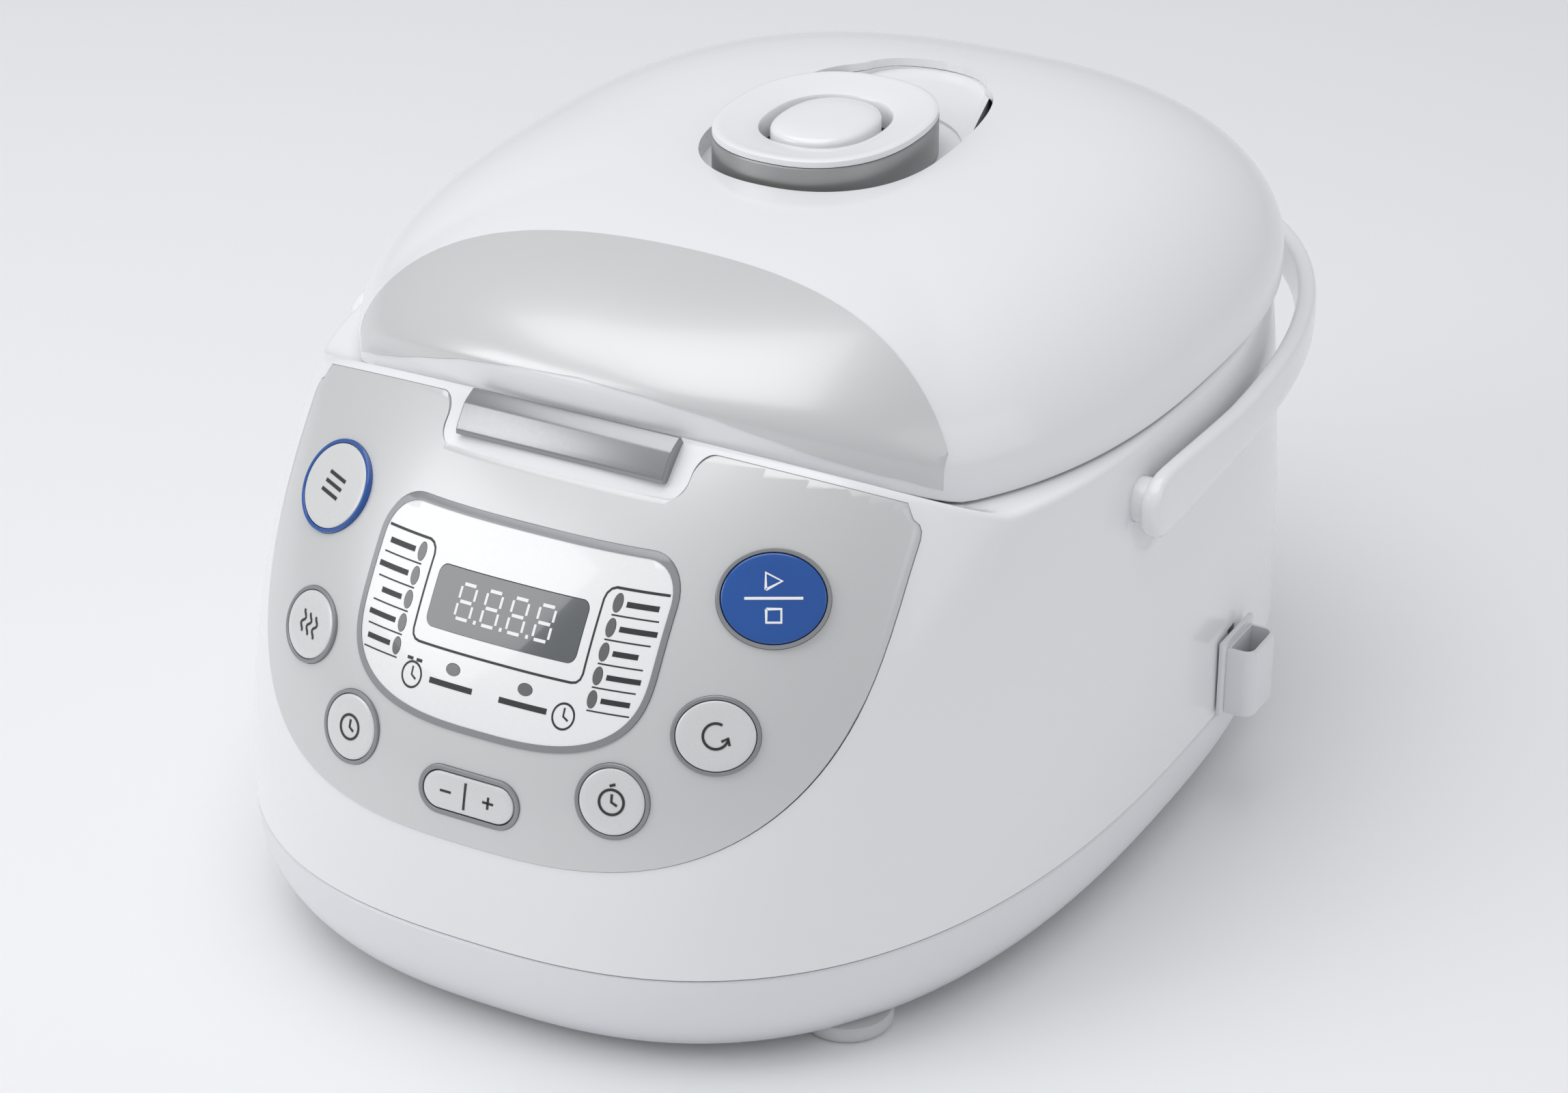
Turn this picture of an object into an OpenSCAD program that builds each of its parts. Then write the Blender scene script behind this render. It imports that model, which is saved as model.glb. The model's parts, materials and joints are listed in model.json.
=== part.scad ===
// Countertop rice cooker: round-cornered shell on a shallow base, domed
// hinged lid with a lift-out steam vent, slanted key panel, swing handle.
// Millimetres, +Z up, front towards -Y.

/* [Shell] */
// Half width of the shell at the base seam
body_a = 139; // [125:1:150]
// Distance from the middle to the front at the base seam
body_f = 202; // [180:1:215]
// Distance from the middle to the back at the base seam
body_r = 181; // [165:1:195]
// Squareness of the front half of the outline
front_n = 2.6; // [2:0.05:4]
// Squareness of the rear half of the outline
rear_n = 2.53; // [2:0.05:4]
// How far the front leans back over one hundred millimetres of height
front_lean = 32.8; // [0:0.1:45]
// How far each side leans in over one hundred millimetres of height
side_lean = 5.1; // [0:0.1:15]
// Exponent of the leaning curve
lean_p = 2.25; // [1:0.05:4]
// Wall of the moulded shells
wall = 3; // [2:0.1:4]

/* [Heights] */
// Underside of the base shell above the surface
base_z = 5; // [3:0.5:8]
// Seam between base and body
seam_z = 35; // [25:1:45]
// Joint line between lid and body along the sides
part_z = 152; // [140:1:165]
// Top of the lid
lid_z = 205.4; // [190:0.2:225]

/* [Lid] */
// Half width of the lid
lid_a = 131; // [120:1:140]
// Lid apex distance behind the middle
lid_y = 25; // [0:1:40]
// Roundness of the lid dome across
dome_p = 4.12; // [2:0.02:6]
// Roundness of the lid dome in height
dome_q = 1.59; // [1:0.01:3]
// Opening angle of the lid
lid_open = 80; // [60:1:85]
// Radius of the rear edge of the front trim
trim_r = 239; // [180:1:300]

/* [Pot and heater] */
// Outer radius of the pot wall
pot_r = 100; // [90:1:104]
// Height of the pot lip
pot_z = 148; // [140:1:148]
// Underside of the pot
pot_bottom = 30; // [26:1:36]
// Wall of the pot
pot_t = 2; // [1.5:0.1:3]
// Centre of the pot behind the middle of the shell
pot_y = 20; // [10:1:30]

/* [Keys] */
// Half width of the two large keys
big_w = 14.8; // [12:0.1:18]
// Half height of the two large keys
big_h = 12.8; // [10:0.1:16]
// Half width of the two middle keys
mid_w = 11.3; // [9:0.1:14]
// Half height of the two middle keys
mid_h = 9.9; // [8:0.1:14]
// Radius of the two small keys
small_r = 9.6; // [8:0.1:12]
// Key travel
key_travel = 1; // [0.5:0.1:1.5]

/* [Handle] */
// Height of the handle axis
handle_z = 135; // [125:1:145]
// Handle axis in front of the middle
handle_y = -33; // [-45:1:-20]
// Radius of the handle's pivot stubs
handle_pin_r = 7; // [5:0.5:9]

/* [Hidden] */
seg = 48;
lv = [seam_z + 0.3, 56, 78, 98, 116, 132, 146, 159, 172, 188];
function turn(i) = 360 * (i + 0.5) / seg;
// moves the shell's mirror plane so that the outer box is centred
x_off = -3.75;
hinge_y = 170;
hinge_z = 157;
shaft_r = 2.5;
barrel_r = 4.2;
run = 0.06;
vent_y = 18;
vent_z = 199;
key_in = 8;
white = "#ECEDEE";
white2 = "#E4E5E6";
pearl = "#D6D6D4";
silver = "#B4B5B6";
ringc = "#9A9B9C";
dark = "#4A4C4D";
metal = "#C6C8CA";
blue = "#0B4F9E";
blackc = "#2B2B2B";

function lean(z, k) = z <= seam_z ? 0 : k * pow((z - seam_z) / 100, lean_p);
function foot(z, k) = z >= seam_z ? 0 : k * pow((seam_z - z) / (seam_z - base_z), 2.4);
function at_a(z) = body_a - lean(z, side_lean) - foot(z, 12);
function at_f(z) = body_f - lean(z, front_lean) - foot(z, 13);
function at_r(z) = body_r - lean(z, 1.3) - foot(z, 12);
function sgp(v, n) = sign(v) * pow(abs(v), 2 / n);
// closed outline point at angle t around [0, cy]
function out_pt(t, a, f, r, nf, nr) =
    let (n = sin(t) < 0 ? nf : nr)
    [a * sgp(cos(t), n), (sin(t) < 0 ? f : r) * sgp(sin(t), n)];
// y of the front surface at a given x and height
function front_y(x, z, d = 0) =
    -(at_f(z) + d) * pow(1 - pow(abs(x) / (at_a(z) + d), front_n), 1 / front_n);
// height of the joint line between lid and body
function part_h(y) = let (t = max(0, -(y + 90))) part_z + 0.62 * t * t / (t + 8);

function ring_faces(n, k) = concat(
    [[for (i = [0:n - 1]) i]],
    [for (j = [0:k - 2], i = [0:n - 1])
        [j * n + i, (j + 1) * n + (i + 1) % n, j * n + (i + 1) % n]],
    [for (j = [0:k - 2], i = [0:n - 1])
        [j * n + i, (j + 1) * n + i, (j + 1) * n + (i + 1) % n]],
    [[for (i = [0:n - 1]) k * n - 1 - i]]);

module place() translate([x_off, 0, 0]) children();
module mx() for (s = [-1, 1]) scale([s, 1, 1]) children();

// body volume grown by d, over the given heights
module body_solid(d = 0, zs = lv) {
    pts = [for (z = zs, i = [0:seg - 1])
        let (p = out_pt(turn(i), at_a(z) + d, at_f(z) + d, at_r(z) + d, front_n, rear_n))
        [p[0], p[1], z]];
    polyhedron(points = pts, faces = ring_faces(seg, len(zs)));
}

// lid volume grown by d, its wall standing on height low
module lid_solid(d = 0, low = 140) {
    rho = [1, 0.985, 0.96, 0.925, 0.88, 0.82, 0.74, 0.63, 0.48, 0.31];
    pts = concat(
        [for (i = [0:seg - 1]) let (p = lid_out(turn(i), 1, d)) [p[0], p[1], low]],
        [for (q = rho, i = [0:seg - 1])
            let (t = turn(i), e = lid_out(t, 1, d), p = lid_out(t, q, d),
                 zr = part_h(e[1]) + 9)
            [p[0], p[1], q < 0.32 ? lid_z + d : zr + (lid_z - zr) * pow(1 - pow(q, dome_p), 1 / dome_q) + d]]);
    polyhedron(points = pts, faces = ring_faces(seg, len(rho) + 1));
}
function lid_out(t, q, d) =
    let (p = out_pt(t, (lid_a + d) * q, (132 + lid_y + d) * q, (179 - lid_y + d) * q, front_n, rear_n))
    [p[0], p[1] + lid_y];
function lid_top(x, y) =
    let (dy = y - lid_y, b = dy < 0 ? 132 + lid_y : 179 - lid_y, n = dy < 0 ? front_n : rear_n,
         q = max(0.001, pow(pow(abs(x) / lid_a, n) + pow(abs(dy) / b, n), 1 / n)),
         zr = part_h(lid_y + dy / q) + 9)
    zr + (lid_z - zr) * pow(max(0, 1 - pow(q, dome_p)), 1 / dome_q);

// everything above (up = 1) or below (up = -1) the joint surface plus gap
module joint_side(up, gap)
    translate([-180, 0, 0]) rotate([90, 0, 90]) linear_extrude(360)
        polygon(concat([for (y = [-230:5:-85]) [y, part_h(y) + gap]],
            [[230, part_z + gap], [230, up * 250 + 60], [-230, up * 250 + 60]]));

// outline seen from the front, cut through the front wall
module front_cut(depth = 240) rotate([90, 0, 0]) linear_extrude(depth) children();

function super_low(w, h, zc, n, k) =
    [for (i = [0:k]) let (t = 180 + 180 * i / k)
        [w * sgp(cos(t), n), zc + h * sgp(sin(t), n)]];

module panel_2d(top = 215) polygon(concat(super_low(102, 83.5, 150, 3.2, 31),
    [[102, 152], [100, 157], [95.5, 160.5], [95.5, top], [-95.5, top], [-95.5, 160.5], [-100, 157], [-102, 152]]));
module insert_2d() offset(r = 8, $fn = 24) offset(delta = -8)
    polygon(concat(super_low(49.3, 27.5, 125, 3.2, 23), [[49.3, 140], [46, 150], [-46, 150], [-49.3, 140]]));
module window_2d(d = 0) offset(r = 2.4 + d, $fn = 20) square([44.8, 10.4], center = true);

// layer of the body surface between offsets d1 and d2
module body_layer(d1, d2, zs = [55, 72, 88, 104, 118, 131, 143, 154, 165, 176, 187]) difference() {
    body_solid(d2, zs);
    body_solid(d1, concat([40], zs, [196]));
}

// position and direction of a key on the front surface
module on_front(x, z, az, el) translate([x, front_y(x, z), z]) rotate([0, 0, az]) rotate([90 - el, 0, 0]) children();
key_list = [
    ["menu", -73.2, 141.4, -28.8, 34.4, big_w, big_h],
    ["keep", -67.8, 107.9, -26.2, 25, mid_w, mid_h],
    ["timer", -43.7, 88.5, -12.9, 17, small_r, small_r],
    ["preset", 43.7, 88.5, 12.9, 17, small_r, small_r],
    ["reheat", 67.8, 107.9, 26.2, 25, mid_w, mid_h],
    ["start", 73.2, 141.4, 28.8, 34.4, big_w, big_h]];
rocker_z = 80.7;
rocker_el = 14;

module key(k) on_front(k[1], k[2], k[3], k[4]) {
    oval(k, 0, -key_in, key_in + 1.4);
    oval(k, -1.1, 0, 2.2);
}
module oval(k, e, low, h) translate([0, 0, low]) scale([1, (k[6] + e) / (k[5] + e), 1]) cylinder(h = h, r = k[5] + e, $fn = 44);
module key_hole(k, e) on_front(k[1], k[2], k[3], k[4]) oval(k, e, -14, 24);
module stadium(l, h) hull() for (s = [-1, 1]) translate([s * (l - h), 0]) circle(r = h, $fn = 32);
module on_rocker() on_front(0, rocker_z, 0, rocker_el) children();

// ---- body ----
module body_shell() color(white) place() difference() {
    resize([0, 0, 0]) difference() {
        body_solid();
        joint_side(1, -0.35);
        difference() {
            intersection() { body_solid(-wall, concat([20], lv)); joint_side(-1, -7); }
            translate([-41, -170, 160]) cube([82, 62, 60]);
        }
        intersection() { body_solid(-wall, concat([20], lv, [200])); joint_side(1, -3); }
        translate([0, pot_y, 130]) cylinder(h = 40, r = 107, $fn = 72);
        translate([0, pot_y, 148.9]) cylinder(h = 20, r = 111.6, $fn = 72);
        translate([-11, -121.9, 150]) cube([22, 11, 60]);
        translate([-38, -160, 162.4]) cube([76, 39, 60]);
        intersection() {
            body_layer(-1.9, 6);
            difference() { front_cut() offset(delta = 0.25) panel_2d(); latch_rim(0); }
            joint_side(-1, -2.3);
        }
        front_cut() intersection() {
            offset(delta = -4.5) panel_2d();
            translate([-120, 60]) square([240, 96.5]);
        }
        mx() handle_dish();
        translate([-66, hinge_y, hinge_z]) rotate([0, 90, 0]) cylinder(h = 132, r = 11, $fn = 40);
        translate([-14, 150, 46]) cube([28, 40, 20]);
        for (z = [37.7, 50.7]) translate([130, 30.1, z]) cube([20, 6, 11]);
    }
    mx() translate([110, handle_y, handle_z]) rotate([0, 90, 0]) cylinder(h = 40, r = handle_pin_r + run, $fn = 48);
}
module latch_rim(e) translate([-41.5 - e, -170, 160.5 - e]) cube([83 + 2 * e, 60, 60]);
module handle_dish() translate([138.3, handle_y, handle_z]) rotate([0, 90, 0])
    scale([1, 1.15, 0.3]) sphere(r = 20, $fn = 32);

module deck_ring() color(metal) place() translate([0, pot_y, 0]) rotate_extrude($fn = 72)
    polygon([[105.6, 149], [105.6, 149.6], [106.6, 150.4], [110.5, 150.4], [111.3, 149.6], [111.3, 149]]);

module base_shell() color(white2) place() resize([0, 0, 0]) difference() {
    body_solid(0, [base_z, 6.5, 9, 13, 18, 25, seam_z]);
    body_solid(-wall, [base_z + wall, 13.4, 18.4, 25.4, 34, 60]);
    for (x = [-foot_x, foot_x], y = [foot_f, foot_r]) translate([x, y, -1]) cylinder(h = 20, r = 1.8, $fn = 20);
}
foot_x = 91;
foot_f = -138;
foot_r = 120;
module feet(y) for (x = [-foot_x, foot_x]) translate([x, y, 0]) {
    cylinder(h = 2.2, r1 = 12.4, r2 = 14, $fn = 32);
    translate([0, 0, 2.2]) cylinder(h = base_z - 2.2, r = 14, $fn = 32);
    translate([0, 0, base_z]) cylinder(h = 6, r = 1.75, $fn = 20);
}
module front_feet() color(white2) place() feet(foot_f);
module rear_feet() color(white2) place() feet(foot_r);

module well_case() color(metal) place() translate([0, pot_y, 0]) rotate_extrude($fn = 72)
    polygon([[7, 17], [104, 17], [105.2, 18.2], [105.2, 148.9], [104, 148.9], [104, 18.2], [7, 18.2]]);
module heating_plate() color(metal) place() translate([0, pot_y, 0]) difference() {
    union() {
        translate([0, 0, 21]) cylinder(h = 8.8, r = 88, $fn = 64);
        for (a = [30, 150, 270]) rotate(a) translate([60, 0, 18.3]) cylinder(h = 2.7, r = 6, $fn = 20);
    }
    translate([0, 0, 15]) cylinder(h = 20, r = 17, $fn = 40);
}
module side_heater() color("#B9A98C") place() translate([0, pot_y, 70]) difference() {
    cylinder(h = 30, r = 107.4, $fn = 64);
    translate([0, 0, -1]) cylinder(h = 32, r = 105.3, $fn = 64);
}
module centre_sensor() color(metal) place() translate([0, pot_y, 0]) {
    translate([0, 0, 23]) cylinder(h = 6.7, r1 = 15, r2 = 14, $fn = 40);
    translate([0, 0, 14]) cylinder(h = 9, r = 5, $fn = 24);
}
module sensor_spring() color(silver) place() translate([0, pot_y, 18.4]) difference() {
    cylinder(h = 4.4, r = 11, $fn = 32);
    translate([0, 0, -1]) cylinder(h = 8, r = 9, $fn = 32);
}
module inner_pot() color(dark) place() translate([0, pot_y, 0]) rotate_extrude($fn = 80)
    polygon(concat([[0, pot_bottom], [pot_r - 22, pot_bottom]],
        [for (a = [-75:15:0]) [pot_r - 22 + 22 * cos(a), pot_bottom + 22 + 22 * sin(a)]],
        [[pot_r, pot_z - 1.6], [pot_r + 3.5, pot_z - 1.6], [pot_r + 3.5, pot_z], [pot_r - 1, pot_z],
         [pot_r - pot_t, pot_z - 1.5], [pot_r - pot_t, pot_bottom + 22]],
        [for (a = [-15:-15:-75]) [pot_r - 22 + 20 * cos(a), pot_bottom + 22 + 20 * sin(a)]],
        [[pot_r - 22, pot_bottom + pot_t], [0, pot_bottom + pot_t]]));

module power_board() color("#3F6B4A") place() translate([-45, -165, base_z + wall]) cube([80, 62, 1.6]);
module transformer() color(dark) place() translate([-36, -156, 9.6]) cube([28, 30, 22]);
module relay() color("#2E4E7E") place() translate([6, -148, 9.6]) cube([18, 14, 15]);
module thermal_fuse() color("#C9B48A") place() translate([40, 16, 12]) cube([26, 7, 5]);
module inlet_socket() color(dark) place() difference() {
    translate([-13.6, 158, 46.4]) cube([27.2, 23.6, 19.2]);
    translate([-11, 163, 49]) cube([22, 30, 14]);
    for (x = [-5, 5]) translate([x, 150, 56]) rotate([-90, 0, 0]) cylinder(h = 14, r = 1.6, $fn = 20);
}
module inlet_pins() color(metal) place() for (x = [-5, 5]) translate([x, 154, 56]) rotate([-90, 0, 0]) {
    cylinder(h = 19, r = 1.55, $fn = 20);
    translate([0, 0, 19]) cylinder(h = 1.6, r1 = 1.55, r2 = 0.8, $fn = 20);
}
module base_screws() color(metal) place() for (x = [-60, 60], y = [-150, 145]) translate([x, y, base_z - 1.6]) {
    cylinder(h = 1.6, r = 3.4, $fn = 20);
    translate([0, 0, 1.6]) cylinder(h = 9, r = 1.4, $fn = 12);
}

// ---- control panel ----
module control_panel() color(pearl) place() resize([0, 0, 0]) difference() {
    intersection() {
        body_layer(-1.8, 0.35);
        front_cut() panel_2d();
        joint_side(-1, -2.6);
    }
    latch_rim(0.25);
    for (k = key_list) key_hole(k, 1.55);
    on_rocker() translate([0, 0, -12]) linear_extrude(20) stadium(16.9, 7.4);
    front_cut() translate([0, 129]) window_2d(0.2);
    intersection() { body_layer(-0.6, 3); front_cut() offset(delta = 0.1) insert_2d(); }
    for (p = light_list) light_at(p, 0.15);
}
module panel_insert() color(white) place() resize([0, 0, 0]) difference() {
    intersection() { body_layer(-0.6, 0.75); front_cut() offset(delta = -1.75) insert_2d(); }
    front_cut() translate([0, 129]) window_2d(0.2);
    for (p = light_list) light_at(p, 0.15);
}
module insert_rim() color(ringc) place() resize([0, 0, 0]) intersection() {
    body_layer(-0.6, 1.0);
    front_cut() difference() { insert_2d(); offset(delta = -1.7) insert_2d(); }
}
module display_window() color("#6B6E6C") place() resize([0, 0, 0]) intersection() {
    body_layer(-2.4, 0.75);
    front_cut() translate([0, 129]) window_2d();
}
light_list = concat([for (s = [-1, 1], i = [0:4]) [s * 32.6, 137.4 - 5.8 * i, 1.3, 2.1]],
    [[-12, 112.7, 2.2, 1.5], [12, 112.7, 2.2, 1.5]]);
module light_at(p, e) front_cut() translate([p[0], p[1]]) scale([1, (p[3] + e) / (p[2] + e)]) circle(r = p[2] + e, $fn = 20);
module indicator_lights() color("#6E6E6E") place() resize([0, 0, 0]) for (p = light_list) intersection() {
    light_at(p, 0);
    translate([p[0], front_y(p[0], p[1]), p[1]]) rotate([60, 0, 0]) translate([-5, -6, -3.4]) cube([10, 12, 4.2]);
}
module board_at() translate([0, -150, 113]) rotate([60, 0, 0]) children();
module control_board() color("#3F6B4A") place() board_at() difference() {
    translate([-62, -32, -0.8]) cube([124, 64, 1.6]);
    for (x = [-57, 57], y = [-27, 27]) translate([x, y, -2]) cylinder(h = 4, r = 1.6, $fn = 16);
}
module display_module() color(dark) place() board_at() translate([-27, 6, 0.8]) cube([54, 18, 9]);
module board_screws() color(metal) place() board_at() for (x = [-57, 57], y = [-27, 27]) translate([x, y, 0.8]) {
    cylinder(h = 1.6, r = 2.8, $fn = 16);
    translate([0, 0, -4]) cylinder(h = 4, r = 1.4, $fn = 16);
}
module key_bezels() color(ringc) place() for (k = key_list) on_front(k[1], k[2], k[3], k[4]) difference() {
    oval(k, 1.5, -5, 6);
    oval(k, 0.25, -6, 9);
}
module rocker_bezel() color(ringc) place() on_rocker() difference() {
    translate([0, 0, -4]) linear_extrude(5) stadium(16.8, 7.3);
    translate([0, 0, -6]) linear_extrude(9) stadium(15.4, 5.9);
}
module menu_key() color(white) place() key(key_list[0]);
module keep_warm_key() color(white) place() key(key_list[1]);
module timer_key() color(white) place() key(key_list[2]);
module preset_key() color(white) place() key(key_list[3]);
module reheat_key() color(white) place() key(key_list[4]);
module start_key() color(silver) place() key(key_list[5]);
module time_rocker() color(white) place() on_rocker() difference() {
    translate([0, 0, -5]) linear_extrude(7) stadium(15, 5.5);
    translate([0, 0, -3]) rotate([90, 0, 0]) cylinder(h = 20, r = 1.05 + run, center = true, $fn = 24);
}
module rocker_pin() color(metal) place() on_rocker() translate([0, 0, -3]) rotate([90, 0, 0])
    cylinder(h = 11.6, r = 1.05, center = true, $fn = 24);

// ---- latch ----
latch_y = -126;
latch_z = 166.8;
module latch_button() color(silver) place() difference() {
    translate([-34.5, 0, 0]) rotate([90, 0, 90]) linear_extrude(69) polygon([
        [-143.6, 165], [-143.2, 166.4], [-141.6, 168.4], [-136.2, 173.2], [-134.4, 174.3], [-133, 174.3],
        [-131.6, 172.9], [-127, 170.1], [-123.2, 167.8], [-123, 165.4], [-126, 164.5], [-141.5, 164.2]]);
    translate([-40, latch_y, latch_z]) rotate([0, 90, 0]) cylinder(h = 80, r = 1.5 + run, $fn = 24);
}
module latch_pin() color(metal) place() translate([-37.9, latch_y, latch_z]) rotate([0, 90, 0]) cylinder(h = 75.8, r = 1.5, $fn = 24);
module latch_bracket() color(white2) place() mx() difference() {
    translate([35, -130, 162.5]) cube([2.9, 6, 6.5]);
    translate([30, latch_y, latch_z]) rotate([0, 90, 0]) cylinder(h = 10, r = 1.5 + run, $fn = 24);
}

// ---- lid ----
module lid_cover() color(white) place() resize([0, 0, 0]) difference() {
    lid_solid();
    joint_side(-1, 0.35);
    difference() { lid_solid(-2.6, 130); }
    vent_well();
    intersection() {
        difference() { lid_solid(2); lid_solid(-0.9); }
        trim_area(0.25);
    }
}
module vent_2d(e) translate([0, vent_y]) polygon([for (i = [0:seg - 1])
    [(33 + e) * sgp(cos(turn(i)), 2.3), (40 + e) * sgp(sin(turn(i)), 2.3)]]);
module vent_tail_2d() hull() {
    translate([0, 3.5]) vent_2d(5);
    translate([0, 84]) scale([1, 0.8]) circle(r = 22, $fn = 32);
}
// shallow recess round the vent and behind it
module vent_well() {
    translate([0, 3.5, vent_z]) linear_extrude(30) vent_2d(5);
    intersection() {
        translate([0, 0, vent_z + 0.4]) linear_extrude(30) vent_tail_2d();
        translate([0, 30, vent_z + 0.7]) rotate([0.6, 0, 0]) translate([-60, 0, 0]) cube([120, 120, 40]);
    }
    translate([0, 0, 185]) linear_extrude(30) vent_2d(-15);
}
module vent_pan() color(white) place() resize([0, 0, 0]) difference() {
    intersection() {
        translate([0, 0, vent_z - 3]) linear_extrude(20) offset(r = 2, $fn = 30) vent_tail_2d();
        lid_solid(-2.7);
    }
    vent_well();
}
trim_low = [[0, 185.3], [22, 184.2], [42, 181], [60, 175.6], [76, 169.4], [91, 162.8], [99, 158]];
module trim_area(e) intersection() {
    translate([0, -73 - trim_r, 150]) cylinder(h = 80, r = trim_r + e, $fn = 120);
    front_cut() offset(delta = e) polygon(concat([for (i = [6:-1:0]) [-trim_low[i][0], trim_low[i][1]]],
        [for (i = [1:6]) trim_low[i]], [[99, 230], [-99, 230]]));
}
module lid_trim() color(pearl) place() resize([0, 0, 0]) intersection() {
    difference() { lid_solid(0.35); lid_solid(-0.85); }
    trim_area(0);
}
module lid_frame() color(white2) place() difference() {
    union() {
        resize([0, 0, 0]) difference() {
            intersection() { lid_solid(-2.9, 130); joint_side(1, 0.5); joint_side(-1, 3.1); }
            translate([0, pot_y, 130]) cylinder(h = 40, r = 102, $fn = 64);
            translate([-34, 151.5, 140]) cube([68, 40, 30]);
        }
        translate([-22, hinge_y, hinge_z]) rotate([0, 90, 0]) cylinder(h = 44, r = barrel_r, $fn = 32);
        translate([-22, 148, 152.8]) cube([44, 20, 4.2]);
    }
    translate([-30, hinge_y, hinge_z]) rotate([0, 90, 0]) cylinder(h = 60, r = shaft_r + run, $fn = 32);
}
module inner_lid() color(metal) place() translate([0, pot_y, 0]) difference() {
    rotate_extrude($fn = 72) polygon([[0, 151.4], [84, 150.4], [86, 148.6], [99, 148.6], [99, 152.4], [101, 152.4],
        [101, 153.4], [85, 153.4], [84, 152.4], [0, 153.4]]);
    for (a = [0:72:288]) rotate(a) translate([5.2, 0, 140]) cylinder(h = 30, r = 2, $fn = 16);
}
module lid_gasket() color("#D9D9D4") place() translate([0, pot_y, 0]) rotate_extrude($fn = 72)
    polygon([[99.1, 148.4], [102.5, 148.4], [103.2, 149.2], [103.2, 151.2], [102, 152.3], [99.1, 152.3]]);
module lid_boss() color("#D9D9D4") place() translate([0, pot_y, 0]) difference() {
    union() {
        translate([0, 0, 153.5]) cylinder(h = 31, r = 15, $fn = 36);
        translate([0, 0, 184.5]) cylinder(h = 5, r = 12, $fn = 36);
    }
    translate([0, 0, 150]) cylinder(h = 50, r = 9, $fn = 32);
}
module lid_catch() color(metal) place() {
    translate([-9, -118.5, 152]) cube([18, 2, 20]);
    translate([-9, -118.5, 152]) cube([18, 5, 2]);
}
module lid_screws() color(metal) place() for (x = [-80, 80], y = [-70, 110]) translate([x, y, part_z + 1.8]) {
    translate([0, 0, -1.2]) cylinder(h = 1.2, r = 3, $fn = 16);
    cylinder(h = 8, r = 1.4, $fn = 12);
}
module vent_body() color(silver) place() difference() {
    translate([0, 0, vent_z + 0.3]) union() {
        linear_extrude(13.5) vent_2d(-0.6);
        translate([0, 0, 13.5]) linear_extrude(1.2) vent_2d(-1.3);
    }
    translate([0, 0, vent_z + 2.3]) linear_extrude(20) vent_2d(-4);
    translate([0, pot_y, 190]) cylinder(h = 30, r = 7.5, $fn = 32);
}
module vent_cap() color(white) place() {
    difference() {
        translate([0, 0, vent_z + 4.2]) linear_extrude(2) vent_2d(-4.2);
        for (x = [-16, 16], y = [-10, 1]) translate([x - 1.5, vent_y + y, vent_z]) cube([3, 8, 20]);
    }
    translate([0, 0, vent_z + 6]) linear_extrude(8.3) translate([0, vent_y]) scale([1, 0.87]) translate([0, -vent_y]) vent_2d(-17);
    for (x = [-13, 13], y = [-16, 16]) translate([x, vent_y + y, vent_z + 2.35]) cylinder(h = 2.6, r = 2, $fn = 20);
}
module vent_grommet() color(dark) place() translate([0, pot_y, 0]) difference() {
    union() {
        translate([0, 0, 188]) cylinder(h = vent_z + 4 - 188, r = 7.4, $fn = 32);
        translate([0, 0, 189.8]) cylinder(h = 2, r = 8.7, $fn = 32);
    }
    translate([0, 0, 180]) cylinder(h = 40, r = 5, $fn = 28);
}
module hinge_shaft() color(metal) place() translate([-32.5, hinge_y, hinge_z]) rotate([0, 90, 0]) cylinder(h = 65, r = shaft_r, $fn = 32);
module hinge_bracket() color(white2) place() mx() difference() {
    union() {
        translate([24, hinge_y, hinge_z]) rotate([0, 90, 0]) cylinder(h = 6, r = barrel_r, $fn = 32);
        translate([24, hinge_y - 16, 151.7]) cube([6, 10, hinge_z + barrel_r - 151.7]);
        translate([24, hinge_y - 7, hinge_z - barrel_r]) cube([6, 7, 2 * barrel_r]);
    }
    translate([20, hinge_y, hinge_z]) rotate([0, 90, 0]) cylinder(h = 20, r = shaft_r, $fn = 32);
}
module hinge_spring() color(metal) place() translate([22.3, hinge_y, hinge_z]) rotate([0, 90, 0]) difference() {
    cylinder(h = 1.4, r = 4.4, $fn = 28);
    translate([0, 0, -1]) cylinder(h = 4, r = 2.9, $fn = 28);
}

// ---- handle ----
function h_pt(t) = let (p = out_pt(t, 139.6, 10, 198.6, 2.6, 2.6)) p;
module handle() color(white) place() difference() {
    union() {
        handle_bow();
        mx() translate([120, handle_y, handle_z]) rotate([0, 90, 0]) cylinder(h = 18, r = handle_pin_r, $fn = 48);
    }
}
// bow swept along the rear outline, arms run forward to the pivots
module handle_bow() {
    ts = [0, 6, 14, 24, 34, 45, 56, 68, 80, 90];
    half = concat([[139.6, handle_y], [139.6, handle_y * 0.5]], [for (t = ts) h_pt(t)]);
    path = concat(half, [for (i = [len(half) - 2:-1:0]) [-half[i][0], half[i][1]]]);
    sec = [[1.6, -6.4], [-1.8, -6.4], [-3.4, -4.8], [-3.4, 4.8], [-1.8, 6.4], [1.6, 6.4], [3.4, 4.6], [3.4, -4.6]];
    n = len(path);
    dir = [for (i = [0:n - 1]) let (a = path[max(0, i - 1)], b = path[min(n - 1, i + 1)], d = b - a) d / norm(d)];
    function grow(i) = let (e = min(i, n - 1 - i)) e == 0 ? 1.6 : e == 1 ? 1.45 : 1.2;
    pts = [for (i = [0:n - 1], s = sec)
        [path[i][0] + dir[i][1] * s[0], path[i][1] - dir[i][0] * s[0], handle_z + s[1] * grow(i)]];
    polyhedron(points = pts, faces = ring_faces(8, n));
    mx() translate([136.2, handle_y, handle_z]) rotate([0, 90, 0]) cylinder(h = 6.8, r = 8.4, $fn = 32);
}
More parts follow.
